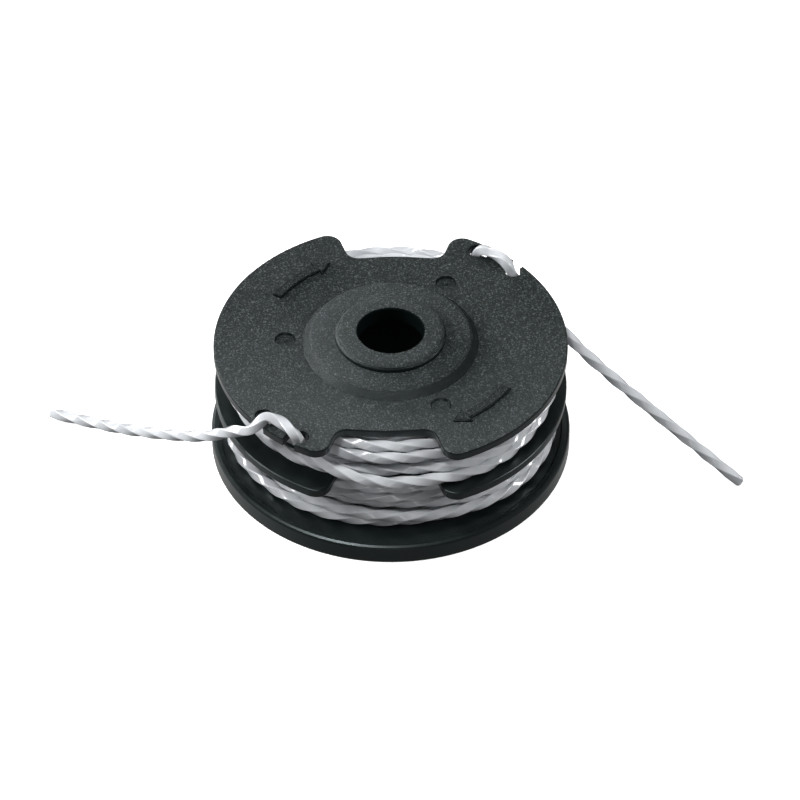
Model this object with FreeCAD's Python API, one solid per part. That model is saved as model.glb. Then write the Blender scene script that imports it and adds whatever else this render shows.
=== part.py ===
"""Dual-line string trimmer spool: one moulded body in named regions, wound with two cutting lines.

Frame: millimetres, +Z up along the spool's axis. The origin is the centre of the lower rim's
bottom face, so the spool stands on z = 0. The front of the spool is -Y, and azimuths are
counterclockwise from +X. What the spool has at its front it has again half a turn round Z.
"""
import FreeCAD
import Part
import math
import os

V = FreeCAD.Vector
CENTRE = V(0, 0, 0)
UP = V(0, 0, 1)

# Driving dimensions, in mm
FLANGE_R = 38.8         # upper flange and divider
FLANGE_T = 2.1
TOP_Z = 28.7            # top face of the upper flange
EDGE_R = 0.4            # rounding along the flange edges
BORE_R = 7.2            # bore that runs on the trimmer's spindle
BORE_LENGTH = 3.7
HUB_R = 16.5            # the lines are wound on this
HUB_WALL = 2.0
BOSS_FOOT_R = 19.3      # stepped boss round the bore: its foot, its step and its top
BOSS_STEP_R = 17.5
BOSS_STEP_H = 1.8
BOSS_TOP_R = 12.2
BOSS_TOP_H = 3.3
DIVIDER_TOP_Z = 17.0
DIVIDER_T = 2.1
LOWER_R = 39.8          # lower flange
RIM_H = 4.5
RIM_W = 2.0
WEB_Z = 2.0             # underside of the lower flange's web
WEB_T = 2.0
LINE_D = 2.4            # cutting line

# The pair of pockets that park a line's end, either side of a land on the upper flange's rim
CLIP_AZ = 229.3
POCKET_OFFSET = 8.3     # degrees from the land's middle to a pocket
POCKET_PITCH_R = 36.1
POCKET_R = 1.8
MOUTH_OFFSET = 6.4      # degrees from the land's middle to a pocket's mouth
MOUTH_W = 3.0

# Gate dimples and rotation arrows on the top face
DIMPLE_AZ = (58, 178, 298)
DIMPLE_PITCH_R = 23.1
DIMPLE_R = 2.3
DIMPLE_DEPTH = 0.55
ARROW_R = 29.1
ARROW_TAIL_AZ = 149.5
ARROW_NECK_AZ = 124.5
ARROW_TIP_AZ = 117.5
ARROW_HALF_W = 1.15
ARROW_HEAD_HALF_W = 2.2
ARROW_H = 0.6
ARROW_EDGE = 0.3        # chamfer round an arrow's top

# Feed lugs inside the hub's foot
LUG_COUNT = 6
LUG_H = 5.0
LUG_REACH = 1.8
LUG_SPAN = 24           # degrees

FLANGE_Z = TOP_Z - FLANGE_T
DIVIDER_Z = DIVIDER_TOP_Z - DIVIDER_T
FLOOR_Z = WEB_Z + WEB_T
HUB_FOOT_Z = 0.8
CAVITY_R = HUB_R - HUB_WALL
ROOF_Z = TOP_Z + BOSS_TOP_H - BORE_LENGTH
LINE_R = LINE_D / 2

# A window in the upper flange and in the divider: x, y and corner radius, open to the rim
WINDOW = [(-15.2, -40.0, 0), (-11.4, -27.9, 3.0), (-1.0, -28.8, 40),
          (9.2, -27.9, 3.0), (13.2, -40.0, 0)]
WINDOW_RIM_R = 3.3      # rounding where a window meets the rim

# Free routes of the two lines, from inside the winding to the cut end
UPPER_ROUTE = [
    (2.0, -34.2, 19.6), (-4.1, -35.1, 20.2), (-10.8, -34.5, 21.2), (-15.4, -33.2, 22.3),
    (-18.5, -31.4, 23.8), (-19.5, -30.4, 27.0), (-20.3, -30.7, 30.3), (-22.9, -27.7, 30.2),
    (-26.4, -25.6, 30.6), (-28.8, -27.0, 28.6), (-30.7, -26.4, 26.5), (-34.2, -24.3, 23.8),
    (-40.3, -19.4, 20.0), (-52.8, -9.9, 12.6), (-63.8, -1.5, 6.7), (-75.6, 6.5, 1.35)]
LOWER_ROUTE = [
    (-14.6, 30.4, 9.6), (-9.4, 33.4, 11.6), (-3.4, 35.6, 14.0), (2.8, 36.2, 17.0),
    (8.4, 35.6, 19.8), (13.8, 34.0, 22.2), (18.6, 31.5, 23.8), (19.3, 30.6, 27.1),
    (20.0, 29.8, 30.6), (23.0, 27.0, 30.3), (26.3, 25.1, 30.8), (27.4, 24.7, 26.8),
    (29.2, 22.3, 24.3), (32.6, 17.4, 24.3), (37.0, 10.0, 24.5), (43.2, 3.6, 21.3),
    (58.4, -5.1, 12.0), (77.0, -15.8, 1.35)]


def ring(inner, outer, z, height):
    """Plain ring standing on z."""
    disc = Part.makeCylinder(outer, height, V(0, 0, z))
    return disc.cut(Part.makeCylinder(inner, height + 2, V(0, 0, z - 1)))


def turned(profile):
    """Solid turned about Z from (radius, z) points."""
    points = [V(r, 0, z) for r, z in profile]
    face = Part.Face(Part.makePolygon(points + points[:1]))
    return face.revolve(CENTRE, UP, 360)


def polar(radius, azimuth, z=0.0):
    """Point at a radius, an azimuth in degrees and a height."""
    angle = math.radians(azimuth)
    return V(radius * math.cos(angle), radius * math.sin(angle), z)


def half_turned(shape):
    """The same shape half a turn further round Z."""
    copy = shape.copy()
    copy.rotate(CENTRE, UP, 180)
    return copy


def rounded_path(points, radii, closed):
    """Wire along straight runs joined by tangent arcs, one radius for each point."""
    count = len(points)
    corners = range(count) if closed else range(1, count - 1)
    cuts = {}
    for i in corners:
        back = (points[i - 1] - points[i]).normalize()
        ahead = (points[(i + 1) % count] - points[i]).normalize()
        half = (math.pi - back.getAngle(ahead)) / 2
        reach = radii[i] * math.tan(half)
        bisector = (back + ahead).normalize()
        middle = points[i] + bisector * (radii[i] / math.cos(half) - radii[i])
        cuts[i] = (points[i] + back * reach, middle, points[i] + ahead * reach)
    edges = []
    for i in range(count if closed else count - 1):
        after = (i + 1) % count
        start = cuts[i][2] if i in cuts else points[i]
        end = cuts[after][0] if after in cuts else points[after]
        edges.append(Part.LineSegment(start, end).toShape())
        if after in cuts and radii[after] > 0:
            edges.append(Part.Arc(*cuts[after]).toShape())
    return Part.Wire(edges)


def window_cutter(z, height):
    """Prism that cuts the front window from a flange."""
    points = [V(x, y, z) for x, y, r in WINDOW]
    radii = [r for x, y, r in WINDOW]
    outline = rounded_path(points, radii, closed=True)
    return Part.Face(outline).extrude(V(0, 0, height))


def windowed_disc(inner, outer, z, height):
    """Ring with the front and back windows, its rim corners rounded."""
    cutter = window_cutter(z - 1, height + 2)
    disc = ring(inner, outer, z, height).cut(cutter).cut(half_turned(cutter))
    corners = []
    for edge in disc.Edges:
        low, high = edge.Vertexes[0].Point, edge.Vertexes[-1].Point
        upright = abs(abs(high.z - low.z) - height) < 0.01 and math.hypot(low.x, low.y) > outer - 0.1
        if upright and abs(low.y) > 0.6 * outer:
            corners.append(edge)
    return disc.makeFillet(WINDOW_RIM_R, corners)


def pocket_cutter(side, z, height):
    """Undercut pocket and its mouth, on one side of the land (side is -1 or +1)."""
    pocket = Part.makeCylinder(POCKET_R, height, polar(POCKET_PITCH_R, CLIP_AZ + side * POCKET_OFFSET, z))
    mouth = Part.makeBox(8, MOUTH_W, height, V(POCKET_PITCH_R - 0.6, -MOUTH_W / 2, z))
    mouth.rotate(CENTRE, UP, CLIP_AZ + side * MOUTH_OFFSET)
    return pocket.fuse(mouth)


def soften(shape, z, radius, inside):
    """Round the edges that lie in the plane z, further out than a radius."""
    chosen = []
    for edge in shape.Edges:
        box = edge.BoundBox
        flat = abs(box.ZMin - z) < 1e-4 and abs(box.ZMax - z) < 1e-4
        point = edge.valueAt((edge.FirstParameter + edge.LastParameter) / 2)
        if flat and math.hypot(point.x, point.y) > inside:
            chosen.append(edge)
    return shape.makeFillet(radius, chosen)


def upper_flange():
    """Flange with two windows, two pairs of line pockets and three gate dimples."""
    plate = windowed_disc(BOSS_FOOT_R, FLANGE_R, FLANGE_Z, FLANGE_T)
    for side in (-1, 1):
        cutter = pocket_cutter(side, FLANGE_Z - 1, FLANGE_T + 2)
        plate = plate.cut(cutter).cut(half_turned(cutter))
    plate = plate.removeSplitter()
    plate = soften(plate, TOP_Z, EDGE_R, BOSS_FOOT_R + 1)
    plate = soften(plate, FLANGE_Z, EDGE_R, BOSS_FOOT_R + 1)
    for azimuth in DIMPLE_AZ:
        foot = polar(DIMPLE_PITCH_R, azimuth, TOP_Z - DIMPLE_DEPTH)
        dish = Part.makeCone(DIMPLE_R - 0.3, DIMPLE_R, DIMPLE_DEPTH, foot)
        nub = Part.makeCone(0.5, 0.3, 0.3, foot)
        plate = plate.cut(dish.cut(nub))
    return plate


def direction_arrows():
    """Two raised arrows that show which way the spool turns to let line out."""
    outline = []
    for step in range(9):
        azimuth = ARROW_TAIL_AZ + (ARROW_NECK_AZ - ARROW_TAIL_AZ) * step / 8
        outline.append((ARROW_R + ARROW_HALF_W, azimuth))
    outline.append((ARROW_R + ARROW_HEAD_HALF_W, ARROW_NECK_AZ))
    outline.append((ARROW_R, ARROW_TIP_AZ))
    outline.append((ARROW_R - ARROW_HEAD_HALF_W, ARROW_NECK_AZ))
    for step in range(9):
        azimuth = ARROW_NECK_AZ + (ARROW_TAIL_AZ - ARROW_NECK_AZ) * step / 8
        outline.append((ARROW_R - ARROW_HALF_W, azimuth))
    points = [polar(r, azimuth, TOP_Z) for r, azimuth in outline]
    arrow = Part.Face(Part.makePolygon(points + points[:1])).extrude(V(0, 0, ARROW_H))
    top_edges = [edge for edge in arrow.Edges if edge.BoundBox.ZMin > TOP_Z + ARROW_H - 0.01]
    arrow = arrow.makeChamfer(ARROW_EDGE, top_edges)
    return Part.makeCompound([arrow, half_turned(arrow)])


def drive_boss():
    """Stepped boss: the bore's wall, the hub's roof and the ring that carries the flange."""
    step_z = TOP_Z + BOSS_STEP_H
    top_z = TOP_Z + BOSS_TOP_H
    return turned([
        (BORE_R, ROOF_Z), (CAVITY_R, ROOF_Z), (CAVITY_R, FLANGE_Z), (BOSS_FOOT_R, FLANGE_Z),
        (BOSS_FOOT_R, TOP_Z), (BOSS_STEP_R + 0.25, step_z - 0.25), (BOSS_STEP_R - 0.25, step_z),
        (BOSS_TOP_R, step_z), (BOSS_TOP_R - 0.1, top_z - 0.8), (BOSS_TOP_R - 0.4, top_z - 0.35),
        (BOSS_TOP_R - 0.8, top_z - 0.1), (BOSS_TOP_R - 1.3, top_z), (BORE_R + 0.3, top_z),
        (BORE_R, top_z - 0.3)])


def hub_core():
    """Tube that the lines are wound on, with a hole in each chamber for a line's inner end."""
    tube = ring(CAVITY_R, HUB_R, HUB_FOOT_Z, FLANGE_Z - HUB_FOOT_Z)
    for azimuth, z in ((0, FLANGE_Z - 1.6), (180, DIVIDER_Z - 1.6)):
        hole = Part.makeCylinder(LINE_R, HUB_WALL + 4, V(CAVITY_R - 2, 0, z), V(1, 0, 0))
        hole.rotate(CENTRE, UP, azimuth)
        tube = tube.cut(hole)
    return tube


def divider():
    """Plate between the two chambers, with the same windows as the upper flange."""
    plate = windowed_disc(HUB_R, FLANGE_R, DIVIDER_Z, DIVIDER_T)
    plate = soften(plate, DIVIDER_TOP_Z, EDGE_R, HUB_R + 1)
    return soften(plate, DIVIDER_Z, EDGE_R, HUB_R + 1)


def lower_flange():
    """Web of the lower flange, from the hub to the rim."""
    return ring(HUB_R, LOWER_R - RIM_W, WEB_Z, WEB_T)


def lower_rim():
    """Deep rim that stiffens the lower flange and stands on the floor."""
    inner = LOWER_R - RIM_W
    return turned([
        (inner, 0.2), (inner + 0.2, 0), (LOWER_R - 0.25, 0), (LOWER_R, 0.25),
        (LOWER_R, RIM_H - 0.7), (LOWER_R - 0.2, RIM_H - 0.2), (LOWER_R - 0.7, RIM_H),
        (inner + 0.3, RIM_H), (inner, RIM_H - 0.3)])


def feed_lugs():
    """Lugs inside the hub's foot, which the trimmer head catches to let line out."""
    lugs = []
    for index in range(LUG_COUNT):
        wedge = ring(CAVITY_R - LUG_REACH, CAVITY_R, HUB_FOOT_Z, LUG_H)
        azimuth = index * 360 / LUG_COUNT
        corners = [CENTRE, polar(30, azimuth), polar(30, azimuth + LUG_SPAN)]
        sector = Part.Face(Part.makePolygon(corners + corners[:1])).extrude(V(0, 0, 20))
        lugs.append(wedge.common(sector))
    return Part.makeCompound(lugs)


def line_tube(route, label):
    """Round tube along a line's free route; each arc is as large as its two runs allow."""
    points = [V(*point) for point in route]
    radii = [0.0] * len(points)
    for i in range(1, len(points) - 1):
        back, ahead = points[i - 1] - points[i], points[i + 1] - points[i]
        half = (math.pi - back.getAngle(ahead)) / 2
        radii[i] = 0.45 * min(back.Length, ahead.Length) / math.tan(half)
    print(label, "radii", [round(r, 1) for r in radii[1:-1]])
    path = rounded_path(points, radii, closed=False)
    start = points[1] - points[0]
    section = Part.Wire(Part.makeCircle(LINE_R, points[0], start))
    tube = path.makePipeShell([section], True, False)
    print(label, "volume over section times length",
          round(tube.Volume / (math.pi * LINE_R ** 2 * path.Length), 4))
    return tube


def winding(profile, tube):
    """Wound line as one solid of its outer shape, with a seat where the free line leaves it."""
    return turned(profile).cut(tube)


upper_tube = line_tube(UPPER_ROUTE, "upper line")
lower_tube = line_tube(LOWER_ROUTE, "lower line")

UPPER_PACK = [(HUB_R, DIVIDER_TOP_Z), (34.8, DIVIDER_TOP_Z), (34.8, 20.8), (30.3, 24.0),
              (30.3, FLANGE_Z), (HUB_R, FLANGE_Z)]
LOWER_PACK = [(HUB_R, FLOOR_Z), (31.0, FLOOR_Z), (34.5, 5.6), (34.5, 10.4), (30.6, 13.4),
              (30.6, DIVIDER_Z), (HUB_R, DIVIDER_Z)]

nodes = {
    "upper_flange": upper_flange(),
    "direction_arrows": direction_arrows(),
    "drive_boss": drive_boss(),
    "hub_core": hub_core(),
    "divider": divider(),
    "lower_flange": lower_flange(),
    "lower_rim": lower_rim(),
    "feed_lugs": feed_lugs(),
    "upper_winding": winding(UPPER_PACK, upper_tube),
    "lower_winding": winding(LOWER_PACK, lower_tube),
    "upper_line_end": upper_tube,
    "lower_line_end": lower_tube,
}

os.makedirs("parts", exist_ok=True)
for name, shape in nodes.items():
    shape.exportStep(f"parts/{name}.step")
    print(name, "valid" if shape.isValid() else "NOT VALID", round(shape.Volume, 1), "mm3")
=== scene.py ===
"""Looks of a dual-line trimmer spool: one black moulding with two cutting lines wound on it."""
import math

import bpy
from mathutils import Matrix, Vector


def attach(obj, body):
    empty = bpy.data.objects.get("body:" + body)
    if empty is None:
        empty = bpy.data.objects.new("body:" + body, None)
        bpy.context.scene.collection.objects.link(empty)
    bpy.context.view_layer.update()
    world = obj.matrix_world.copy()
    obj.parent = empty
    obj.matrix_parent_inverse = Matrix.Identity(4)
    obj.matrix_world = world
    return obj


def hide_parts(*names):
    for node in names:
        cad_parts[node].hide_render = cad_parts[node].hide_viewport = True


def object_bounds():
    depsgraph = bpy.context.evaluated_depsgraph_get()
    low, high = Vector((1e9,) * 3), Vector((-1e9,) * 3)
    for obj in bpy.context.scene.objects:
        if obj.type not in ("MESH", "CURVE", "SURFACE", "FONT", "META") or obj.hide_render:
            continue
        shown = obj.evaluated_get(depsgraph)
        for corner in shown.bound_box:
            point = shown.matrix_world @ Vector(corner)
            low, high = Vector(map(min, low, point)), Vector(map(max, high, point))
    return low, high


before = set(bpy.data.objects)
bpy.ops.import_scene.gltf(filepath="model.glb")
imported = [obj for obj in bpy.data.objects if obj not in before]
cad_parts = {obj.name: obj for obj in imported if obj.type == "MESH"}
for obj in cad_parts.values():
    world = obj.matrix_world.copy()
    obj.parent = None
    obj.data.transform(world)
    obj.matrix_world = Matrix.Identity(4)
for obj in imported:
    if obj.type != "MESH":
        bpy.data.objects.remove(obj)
cad_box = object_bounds()

MM = 0.001
FULL_TURN = 360

# The cutting line: a rounded square in section, twisted along its length.
LINE_D = 2.4 * MM
LINE_SIDE = 2.04 * MM
LINE_CORNER = 0.26 * MM
CORNER_POINTS = 3
TWIST_PITCH = 26.4 * MM
# Its melted tip stands out by this share of the diameter, and narrows to this share of the width.
MELTED_TIP, MELTED_WIDTH = 0.18, 0.62

# A turn of the coil has this many control points, set out so that the smooth line keeps its radius.
TURN_POINTS = 18
TURN_STEP = FULL_TURN / TURN_POINTS
COIL_GROW = 1 / math.cos(math.pi / TURN_POINTS)
# Steps of the smooth line from one control point to the next
SPLINE_STEPS = 14

# Inner layers of each chamber (mm): radii, and the heights of a layer's turns on the way down and up.
# A turn keeps its height and steps to the next behind the hub.
STEP_START, STEP_END = 100, 60
UPPER_LAYERS = (17.8, 20.1, 22.4, 24.7, 27.0)
UPPER_DOWN = (25.3, 23.0, 20.6, 18.3)
UPPER_UP = (18.3, 20.6, 23.0, 25.3)
LOWER_LAYERS = (17.8, 20.2, 22.6, 25.0, 27.4)
LOWER_DOWN = (13.6, 11.2, 8.8, 6.4)
LOWER_UP = (5.3, 7.7, 10.1, 12.5)

# Stations of each winding: azimuth (degrees), radius, height (mm). Each station lies
# clockwise of the one before, and the first is the line's hole in the hub wall.
UPPER_START = [(0, 16.2, 25.0), (340, 17.8, 25.3)]
UPPER_OUTER = [
    (60, 29.2, 18.3), (100, 29.2, 18.3),
    (60, 29.1, 20.6), (100, 29.1, 20.6),
    (60, 29.0, 22.8), (100, 29.0, 22.8),
    (60, 29.5, 25.0), (165, 29.5, 24.9),
    (140, 31.2, 22.5), (60, 31.2, 22.5), (0, 31.3, 22.9), (270, 31.3, 23.3), (200, 31.3, 23.2),
    (165, 32.2, 23.1), (140, 32.3, 24.7), (90, 31.9, 25.0), (40, 32.6, 24.8), (0, 34.0, 24.4),
    (340, 35.6, 23.4),
    (327, 35.8, 22.0), (321, 35.4, 21.3), (313, 34.5, 20.4), (300, 34.1, 20.3), (289, 32.8, 20.4),
    (280, 31.4, 20.4), (270, 31.0, 20.3), (260, 31.4, 19.6), (252, 32.9, 18.9),
    (243, 34.0, 19.7), (235, 34.4, 20.2), (226, 35.0, 21.1),
    (219, 36.0, 22.4), (210, 36.4, 23.3), (190, 36.0, 24.4), (140, 34.6, 24.8), (90, 34.3, 24.8),
    (60, 34.6, 24.9), (0, 36.2, 24.0), (349, 36.3, 22.3), (342, 36.0, 21.5), (334, 35.7, 20.4),
    (326, 35.5, 19.3), (316, 35.6, 18.4), (303, 35.3, 18.3), (290, 35.2, 18.4),
]
LOWER_START = [(180, 16.2, 13.3), (160, 17.8, 13.6)]
LOWER_OUTER = [
    (60, 29.3, 5.25), (100, 29.3, 5.25), (80, 29.5, 9.5),
    (60, 30.6, 13.7), (100, 30.6, 13.7), (80, 32.3, 12.8),
    (60, 31.8, 11.9), (0, 30.8, 11.3), (100, 30.8, 11.3),
    (60, 33.2, 10.4), (0, 35.2, 9.2), (335, 35.0, 8.8), (319, 34.1, 8.5), (311, 33.5, 8.4),
    (302, 32.4, 8.4), (290, 31.0, 8.6), (280, 30.0, 8.8), (270, 29.4, 8.8), (255, 29.9, 8.9),
    (235, 30.0, 9.0), (180, 30.4, 9.2), (120, 31.4, 8.0),
    (60, 33.0, 5.4), (0, 33.4, 5.3), (320, 32.6, 5.3), (290, 31.6, 5.3), (270, 31.65, 5.3),
    (255, 32.3, 5.3), (243, 32.8, 5.3), (230, 33.1, 5.3), (218, 33.6, 5.3), (206, 34.4, 5.3),
    (199, 35.1, 5.3), (193, 35.8, 5.4),
    (150, 36.0, 5.6), (90, 36.3, 6.2), (20, 36.0, 6.4), (350, 35.6, 6.0), (341, 35.3, 6.0),
    (329, 34.9, 6.0), (318, 34.6, 6.0), (309, 34.0, 6.0), (300, 33.3, 6.1), (292, 33.0, 6.3),
    (285, 32.7, 6.5), (277, 32.5, 6.8), (270, 32.4, 7.1), (262, 32.6, 7.5), (254, 32.2, 7.8),
    (242, 32.5, 7.8), (232, 32.3, 7.8), (221, 32.2, 7.9), (214, 33.0, 8.3), (205, 33.8, 8.8),
    (195, 34.4, 9.2), (160, 34.5, 9.6), (140, 34.3, 9.6),
]

# The free ends (mm): the solid model's routes, with some points moved by up to 2 mm.
UPPER_ROUTE = [
    (2.0, -35.1, 19.3), (-4.1, -35.3, 20.1), (-10.6, -33.7, 21.2), (-15.2, -32.1, 22.3),
    (-18.4, -30.9, 24.0), (-19.5, -30.4, 27.0), (-20.7, -30.9, 30.3), (-22.9, -27.9, 30.2),
    (-26.4, -25.6, 30.6), (-28.8, -27.0, 28.6), (-30.7, -26.4, 26.5), (-34.2, -24.3, 24.7),
    (-40.3, -19.4, 18.2), (-52.8, -9.9, 10.6), (-63.8, -1.5, 5.1), (-75.6, 6.5, 1.35),
]
LOWER_ROUTE = [
    (-14.6, 30.4, 9.6), (-9.4, 33.4, 11.6), (-3.4, 35.6, 14.0), (2.8, 36.2, 17.0),
    (8.4, 35.6, 19.8), (13.8, 34.0, 22.2), (18.4, 31.4, 23.9), (19.1, 30.5, 27.1),
    (20.1, 28.9, 30.7), (23.1, 27.4, 30.3), (25.8, 24.5, 30.7), (27.2, 23.9, 27.0),
    (29.2, 22.2, 24.3), (32.6, 17.4, 24.3), (37.0, 10.0, 24.5), (43.2, 3.6, 21.3),
    (58.4, -5.1, 12.0), (77.0, -15.8, 1.35),
]


def wound_layers(radii, down, up):
    """Stations of the inner layers, which are laid downwards and upwards in turn."""
    stations = []
    for layer, radius in enumerate(radii):
        for height in down if layer % 2 == 0 else up:
            stations += [(STEP_END, radius, height), (STEP_START, radius, height)]
    return stations[1:]


def wind(stations):
    """Control points of the turns through the stations, in metres."""
    marks = [(0, stations[0][1], stations[0][2])]
    for (before, _, _), (azimuth, radius, height) in zip(stations, stations[1:]):
        sweep = (before - azimuth) % FULL_TURN or FULL_TURN
        marks.append((marks[-1][0] + sweep, radius, height))
    points = []
    mark = 0
    for step in range(int(marks[-1][0] / TURN_STEP) + 1):
        swept = step * TURN_STEP
        while mark < len(marks) - 2 and swept > marks[mark + 1][0]:
            mark += 1
        (low, r0, z0), (high, r1, z1) = marks[mark], marks[mark + 1]
        share = min(1, (swept - low) / (high - low))
        radius = (r0 + (r1 - r0) * share) * COIL_GROW
        height = z0 + (z1 - z0) * share
        angle = math.radians(stations[0][0] - swept)
        points.append(Vector((radius * math.cos(angle), radius * math.sin(angle), height)) * MM)
    return points


def smooth_line(points):
    """Points along the NURBS spline that has these control points."""
    curve = bpy.data.curves.new("route", "CURVE")
    curve.dimensions = "3D"
    curve.resolution_u = SPLINE_STEPS
    spline = curve.splines.new("NURBS")
    spline.points.add(len(points) - 1)
    for spot, point in zip(spline.points, points):
        spot.co = (*point, 1)
    spline.order_u = 3
    spline.use_endpoint_u = True
    route = bpy.data.objects.new("route", curve)
    mesh = bpy.data.meshes.new_from_object(route)
    line = [v.co.copy() for v in mesh.vertices]
    bpy.data.objects.remove(route)
    bpy.data.curves.remove(curve)
    bpy.data.meshes.remove(mesh)
    return line


def square_section(side, corner):
    """The line's section: a square with rounded corners."""
    flat = side / 2 - corner
    ring = []
    for quarter in range(4):
        middle = Matrix.Rotation(quarter * math.pi / 2, 2) @ Vector((flat, flat))
        for point in range(CORNER_POINTS):
            angle = quarter * math.pi / 2 + point / (CORNER_POINTS - 1) * math.pi / 2
            ring.append(middle + corner * Vector((math.cos(angle), math.sin(angle))))
    return ring


def line_mesh(name, line, hand, material):
    """The twisted line along its path. hand is 1 or -1, the sense of its twist."""
    section = square_section(LINE_SIDE, LINE_CORNER)
    line = line + [line[-1] + (line[-1] - line[-2]).normalized() * MELTED_TIP * LINE_D]
    verts, faces = [], []
    side = Vector((0, 0, 1))
    travelled = 0
    for i, point in enumerate(line):
        ahead = line[min(i + 1, len(line) - 1)] - line[max(i - 1, 0)]
        ahead.normalize()
        side = (side - ahead * side.dot(ahead)).normalized()
        across = ahead.cross(side)
        if i:
            travelled += (point - line[i - 1]).length
        twist = hand * 2 * math.pi * travelled / TWIST_PITCH
        u = side * math.cos(twist) + across * math.sin(twist)
        v = across * math.cos(twist) - side * math.sin(twist)
        width = MELTED_WIDTH if i == len(line) - 1 else 1
        verts += [point + (u * p.x + v * p.y) * width for p in section]
    count = len(section)
    for ring in range(len(line) - 1):
        for k in range(count):
            low, high = ring * count, (ring + 1) * count
            after = (k + 1) % count
            faces.append((low + k, low + after, high + after, high + k))
    faces.append(tuple(reversed(range(count))))
    faces.append(tuple(range(len(verts) - count, len(verts))))
    mesh = bpy.data.meshes.new(name)
    mesh.from_pydata(verts, [], faces)
    mesh.shade_smooth()
    mesh.materials.append(material)
    piece = bpy.data.objects.new(name, mesh)
    bpy.context.collection.objects.link(piece)
    return piece


# Materials: the bore's wall and the hub's inside have no sheen: painted shade in these hollows. They
# end at these distances from the axis, and the sheen comes back over the width given after each.
BORE_EDGE, BORE_FADE = 7.4 * MM, 0.3 * MM
CAVITY_EDGE, CAVITY_FADE = 14.6 * MM, 1.0 * MM
CAVITY_SHADE_SHEEN, SMOOTH_SHEEN = 0.02, 0.5
# Painted highlight and shade: the flange's sheen changes from front (-Y) to back, and the boss's from
# left (-X) to right,
# as the light falls on them; the arrows' sheen changes like the flange's. The change runs between:
FLANGE_PAINTED_SHEEN_REACH = (-25 * MM, 10 * MM)
BOSS_PAINTED_SHEEN_REACH = (-18 * MM, 18 * MM)
# Fleck and roughness grow as a face turns upward: the height of its normal where each starts and
# ends. The pale fleck is partly the nylon's own, partly painted glints.
FLECK_AND_GLINT_FACING = (0.45, 0.85)
ROUGH_FACING = (0.75, 0.95)
POLISHED, GRAINED = 0.24, 0.52
COOL_TINT = (0.86, 0.98, 1.0, 1)


def new_material(name):
    """A material, its nodes and links, its shader, and the place on the object."""
    material = bpy.data.materials.new(name)
    material.use_nodes = True
    nodes, links = material.node_tree.nodes, material.node_tree.links
    shader = nodes["Principled BSDF"]
    place = nodes.new("ShaderNodeTexCoord").outputs["Object"]
    return material, nodes, links, shader, place


def noise(nodes, links, place, scale, detail, roughness=0.5):
    """Cloudy noise, from 0 to 1."""
    texture = nodes.new("ShaderNodeTexNoise")
    texture.inputs["Scale"].default_value = scale
    texture.inputs["Detail"].default_value = detail
    texture.inputs["Roughness"].default_value = roughness
    links.new(place, texture.inputs["Vector"])
    return texture.outputs["Fac"]


def ramp(nodes, links, value, stops):
    """Colours by position: stops are (position, colour)."""
    node = nodes.new("ShaderNodeValToRGB")
    band = node.color_ramp
    while len(band.elements) < len(stops):
        band.elements.new(0.5)
    for element, (position, colour) in zip(band.elements, stops):
        element.position = position
        element.color = (*colour, 1)
    links.new(value, node.inputs["Fac"])
    return node.outputs["Color"]


def span(nodes, links, value, low, high):
    """A value from 0..1 mapped to low..high."""
    node = nodes.new("ShaderNodeMapRange")
    node.inputs["To Min"].default_value = low
    node.inputs["To Max"].default_value = high
    links.new(value, node.inputs["Value"])
    return node.outputs["Result"]


def bump(nodes, links, height, strength, distance):
    """A surface normal roughened by a height."""
    node = nodes.new("ShaderNodeBump")
    node.inputs["Strength"].default_value = strength
    node.inputs["Distance"].default_value = distance
    links.new(height, node.inputs["Height"])
    return node.outputs["Normal"]


def distance_out(nodes, links, place, start, end):
    """A mask over the distance from the spool's axis: 0 inside start and 1 outside end."""
    flat = nodes.new("ShaderNodeVectorMath")
    flat.operation = "MULTIPLY"
    flat.inputs[1].default_value = (1, 1, 0)
    links.new(place, flat.inputs[0])
    reach = nodes.new("ShaderNodeVectorMath")
    reach.operation = "LENGTH"
    links.new(flat.outputs["Vector"], reach.inputs[0])
    return between(nodes, links, reach.outputs["Value"], start, end)


def between(nodes, links, value, start, end):
    """A value mapped to 0 at start and 1 at end."""
    node = nodes.new("ShaderNodeMapRange")
    node.inputs["From Min"].default_value = start
    node.inputs["From Max"].default_value = end
    links.new(value, node.inputs["Value"])
    return node.outputs["Result"]


def times(nodes, links, one, other):
    """The product of two values."""
    node = nodes.new("ShaderNodeMath")
    node.operation = "MULTIPLY"
    links.new(one, node.inputs[0])
    links.new(other, node.inputs[1])
    return node.outputs["Value"]


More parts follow.
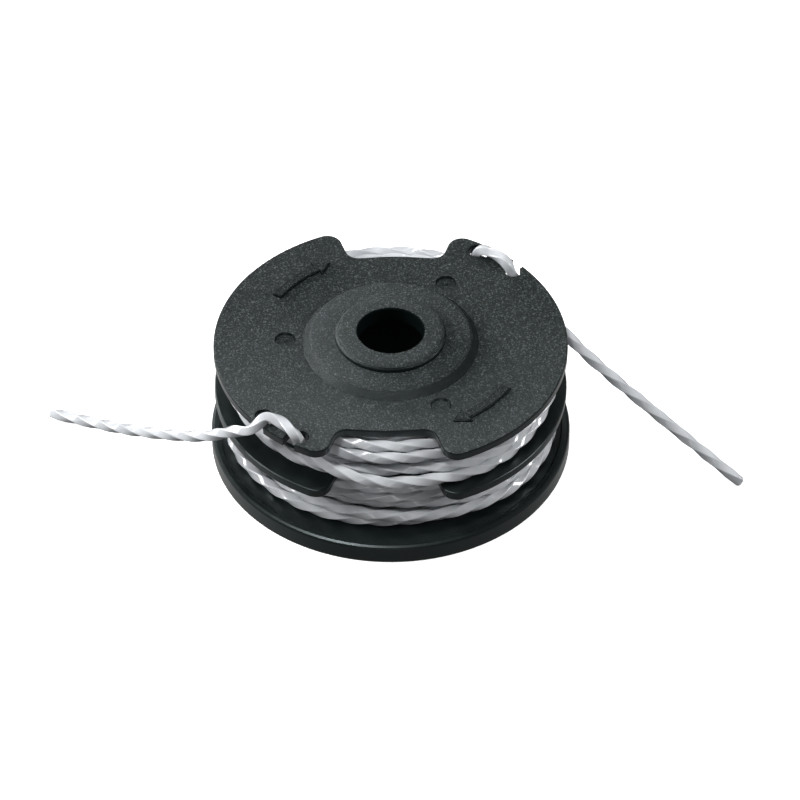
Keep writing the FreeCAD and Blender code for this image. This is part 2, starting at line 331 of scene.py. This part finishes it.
def speckled_nylon(name, axis, reach, painted_sheens):
    """Glass-filled nylon: pale fleck on faces that look up (own fleck and painted glints), polished
    walls, painted sheen by place.
    """
    material, nodes, links, shader, place = new_material(name)
    facing = nodes.new("ShaderNodeSeparateXYZ")
    links.new(place.node.outputs["Normal"], facing.inputs["Vector"])
    speckled = between(nodes, links, facing.outputs["Z"], *FLECK_AND_GLINT_FACING)
    rough = between(nodes, links, facing.outputs["Z"], *ROUGH_FACING)
    fleck_and_glints = times(nodes, links, noise(nodes, links, place, 2700, 3, 0.75), speckled)
    # Pale fleck in the colour: the nylon's own fleck and painted glints of its rough face.
    colour = ramp(nodes, links, fleck_and_glints, [
        (0.42, (0.003, 0.005, 0.005)), (0.54, (0.009, 0.013, 0.013)), (0.72, (0.22, 0.25, 0.25)),
    ])
    links.new(colour, shader.inputs["Base Color"])
    links.new(span(nodes, links, rough, POLISHED, GRAINED), shader.inputs["Roughness"])
    where = nodes.new("ShaderNodeSeparateXYZ")
    links.new(place, where.inputs["Vector"])
    # Painted highlight and shade: the sheen changes by place along one axis, as the light falls.
    sheen = span(nodes, links, between(nodes, links, where.outputs[axis], *reach), *painted_sheens)
    # Painted shade: no sheen on the bore's wall, so it stays black.
    outside = distance_out(nodes, links, place, BORE_EDGE, BORE_EDGE + BORE_FADE)
    links.new(times(nodes, links, sheen, outside), shader.inputs["Specular IOR Level"])
    shader.inputs["Specular Tint"].default_value = COOL_TINT
    links.new(bump(nodes, links, fleck_and_glints, 1.0, 0.0007), shader.inputs["Normal"])
    return material


def smooth_nylon():
    """The same nylon where the tool is polished: blacker and slightly glossy, its sheen taken out
    inside the hub as painted shade.
    """
    material, nodes, links, shader, place = new_material("smooth_nylon")
    cloud = noise(nodes, links, place, 160, 4)
    colour = ramp(nodes, links, cloud, [
        (0.3, (0.003, 0.0055, 0.0055)), (0.7, (0.006, 0.009, 0.009)),
    ])
    links.new(colour, shader.inputs["Base Color"])
    links.new(span(nodes, links, noise(nodes, links, place, 700, 3), 0.26, 0.4),
              shader.inputs["Roughness"])
    # Painted shade: the sheen falls almost to nothing inside the hub.
    outside = distance_out(nodes, links, place, CAVITY_EDGE, CAVITY_EDGE + CAVITY_FADE)
    links.new(span(nodes, links, outside, CAVITY_SHADE_SHEEN, SMOOTH_SHEEN),
              shader.inputs["Specular IOR Level"])
    shader.inputs["Specular Tint"].default_value = COOL_TINT
    links.new(bump(nodes, links, noise(nodes, links, place, 1500, 3), 0.3, 0.00006),
              shader.inputs["Normal"])
    return material


def clear_nylon():
    """Off-white cutting line: a little light passes into it, with a glossy drawn skin."""
    material, nodes, links, shader, place = new_material("clear_nylon")
    cloud = noise(nodes, links, place, 240, 3)
    colour = ramp(nodes, links, cloud, [
        (0.3, (0.54, 0.56, 0.59)), (0.7, (0.64, 0.66, 0.68)),
    ])
    links.new(colour, shader.inputs["Base Color"])
    links.new(span(nodes, links, noise(nodes, links, place, 900, 3), 0.12, 0.26),
              shader.inputs["Roughness"])
    shader.inputs["Subsurface Weight"].default_value = 0.3
    shader.inputs["Subsurface Radius"].default_value = (1.0, 1.0, 1.0)
    shader.inputs["Subsurface Scale"].default_value = 0.0009
    shader.inputs["Coat Weight"].default_value = 0.8
    shader.inputs["Coat Roughness"].default_value = 0.05
    links.new(bump(nodes, links, noise(nodes, links, place, 1100, 2), 0.12, 0.00003),
              shader.inputs["Normal"])
    return material


def dress(material, *names):
    """Gives CAD nodes their finished material."""
    for name in names:
        for part_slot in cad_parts[name].material_slots:
            part_slot.material = material


# The sheen by place on the flange, arrows and boss is painted highlight and shade.
flange_nylon = speckled_nylon("flange_nylon", "Y", FLANGE_PAINTED_SHEEN_REACH, (0.6, 0.26))
arrow_nylon = speckled_nylon("arrow_nylon", "Y", FLANGE_PAINTED_SHEEN_REACH, (0.28, 0.14))
boss_nylon = speckled_nylon("boss_nylon", "X", BOSS_PAINTED_SHEEN_REACH, (0.66, 0.26))
smooth = smooth_nylon()
line_nylon = clear_nylon()
dress(flange_nylon, "upper_flange")
dress(arrow_nylon, "direction_arrows")
dress(boss_nylon, "drive_boss")
dress(smooth, "hub_core", "divider", "lower_flange", "lower_rim", "feed_lugs")


def cutting_line(name, stations, route, hand, *cad_nodes):
    """One whole cutting line, from its hole in the hub wall to its free end."""
    points = wind(stations) + [Vector(point) * MM for point in route]
    line = smooth_line(points)
    piece = line_mesh(name, line, hand, line_nylon)
    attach(piece, "root")
    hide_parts(*cad_nodes)


upper_inner = wound_layers(UPPER_LAYERS, UPPER_DOWN, UPPER_UP)
lower_inner = wound_layers(LOWER_LAYERS, LOWER_DOWN, LOWER_UP)
cutting_line("upper_cutting_line", UPPER_START + upper_inner + UPPER_OUTER, UPPER_ROUTE, 1,
             "upper_winding", "upper_line_end")
cutting_line("lower_cutting_line", LOWER_START + lower_inner + LOWER_OUTER, LOWER_ROUTE, -1,
             "lower_winding", "lower_line_end")

# Floor, light and camera

FLOOR_SIZE = 6.0
SPOOL_MIDDLE = Vector((0, 0, 0.015))

# Soft boxes: place and size in metres, and power in watts
LIGHTS = {
    "overhead_light": ((-0.2, -0.05, 0.8), (0.12, 0.12), 3.05),
    "back_light": ((0.02, 0.22, 0.37), (0.22, 0.1), 0.12),
    "side_light": ((-0.45, 0.42, 0.1), (0.4, 0.2), 2.1),
    "left_light": ((-0.6, 0.0, 0.32), (0.3, 0.2), 3.8),
    "right_light": ((0.6, -0.05, 0.32), (0.3, 0.2), 2.8),
    "front_light": ((0, -0.75, 0.2), (0.5, 0.15), 0.5),
}

CAMERA_PLACE = Vector((0, -0.75207, 0.70432))
CAMERA_AIM = Vector((0.00207, 0, 0.01133))
CAMERA_ROLL = 0.096     # degrees
LENS, SENSOR = 207.97, 36       # mm


def white_floor():
    """A plain white floor that the spool stands on."""
    material, _, _, shader, _ = new_material("floor_white")
    shader.inputs["Base Color"].default_value = (0.9, 0.9, 0.9, 1)
    shader.inputs["Roughness"].default_value = 0.9
    shader.inputs["Specular IOR Level"].default_value = 0.1
    shader.inputs["Emission Color"].default_value = (1, 1, 1, 1)
    shader.inputs["Emission Strength"].default_value = 0.8
    bpy.ops.mesh.primitive_plane_add(size=FLOOR_SIZE, location=(0, 0, cad_box[0].z))
    floor = bpy.context.object
    floor.name = "floor"
    floor.data.materials.append(material)
    floor.visible_diffuse = False
    floor.visible_glossy = False


def soft_light(name, place, size, power):
    """A soft box aimed at the middle of the spool."""
    lamp = bpy.data.lights.new(name, "AREA")
    lamp.shape = "RECTANGLE"
    lamp.size, lamp.size_y = size
    lamp.energy = power
    holder = bpy.data.objects.new(name, lamp)
    holder.location = place
    aim = SPOOL_MIDDLE - holder.location
    holder.rotation_euler = aim.to_track_quat("-Z", "Y").to_euler()
    bpy.context.collection.objects.link(holder)


def camera():
    """A view along +Y, from 43 degrees above the floor."""
    lens = bpy.data.cameras.new("camera")
    lens.lens = LENS
    lens.sensor_width = SENSOR
    lens.clip_start, lens.clip_end = 0.05, 20
    holder = bpy.data.objects.new("camera", lens)
    holder.location = CAMERA_PLACE
    aim = CAMERA_AIM - holder.location
    level = aim.to_track_quat("-Z", "Y").to_matrix().to_4x4()
    roll = Matrix.Rotation(math.radians(CAMERA_ROLL), 4, "Z")
    holder.matrix_world = Matrix.Translation(holder.location) @ level @ roll
    bpy.context.collection.objects.link(holder)
    bpy.context.scene.camera = holder


def grey(value):
    """A neutral colour."""
    return (value, value, value)


def studio_world():
    """Light from behind, above and the left, a low glow as of a pale table, and a white backdrop."""
    world = bpy.data.worlds.new("white_room")
    bpy.context.scene.world = world
    world.use_nodes = True
    nodes, links = world.node_tree.nodes, world.node_tree.links
    direction = nodes.new("ShaderNodeTexCoord").outputs["Generated"]
    toward = nodes.new("ShaderNodeVectorMath")
    toward.operation = "DOT_PRODUCT"
    toward.inputs[1].default_value = (-0.45, 0.55, 0.70)
    links.new(direction, toward.inputs[0])
    room = ramp(nodes, links, toward.outputs["Value"], [
        (0.0, grey(0.05)), (0.35, grey(0.09)), (0.7, grey(0.22)), (1.0, grey(0.38)),
    ])
    split = nodes.new("ShaderNodeSeparateXYZ")
    links.new(direction, split.inputs["Vector"])
    height = nodes.new("ShaderNodeMapRange")
    height.inputs["From Min"].default_value = -1
    links.new(split.outputs["Z"], height.inputs["Value"])
    table = ramp(nodes, links, height.outputs["Result"], [
        (0.05, grey(0)), (0.14, grey(0.33)), (0.35, grey(0.22)), (0.5, grey(0)),
    ])
    backward = nodes.new("ShaderNodeVectorMath")
    backward.operation = "DOT_PRODUCT"
    backward.inputs[1].default_value = (-0.5, 0.85, 0)
    links.new(direction, backward.inputs[0])
    reach = nodes.new("ShaderNodeMapRange")
    reach.inputs["From Min"].default_value = -0.2
    reach.inputs["To Min"].default_value = 0.8
    reach.inputs["To Max"].default_value = 2.4
    links.new(backward.outputs["Value"], reach.inputs["Value"])
    glow = nodes.new("ShaderNodeVectorMath")
    glow.operation = "SCALE"
    links.new(table, glow.inputs[0])
    links.new(reach.outputs["Result"], glow.inputs["Scale"])
    both = nodes.new("ShaderNodeVectorMath")
    links.new(room, both.inputs[0])
    links.new(glow.outputs["Vector"], both.inputs[1])
    sky = nodes["Background"]
    links.new(both.outputs["Vector"], sky.inputs["Color"])
    backdrop = nodes.new("ShaderNodeBackground")
    backdrop.inputs["Color"].default_value = (1, 1, 1, 1)
    mix = nodes.new("ShaderNodeMixShader")
    links.new(nodes.new("ShaderNodeLightPath").outputs["Is Camera Ray"], mix.inputs[0])
    links.new(sky.outputs["Background"], mix.inputs[1])
    links.new(backdrop.outputs["Background"], mix.inputs[2])
    links.new(mix.outputs["Shader"], nodes["World Output"].inputs["Surface"])


white_floor()
for light, (light_place, light_size, watts) in LIGHTS.items():
    soft_light(light, light_place, light_size, watts)
camera()
studio_world()
bpy.context.scene.view_settings.view_transform = "Standard"
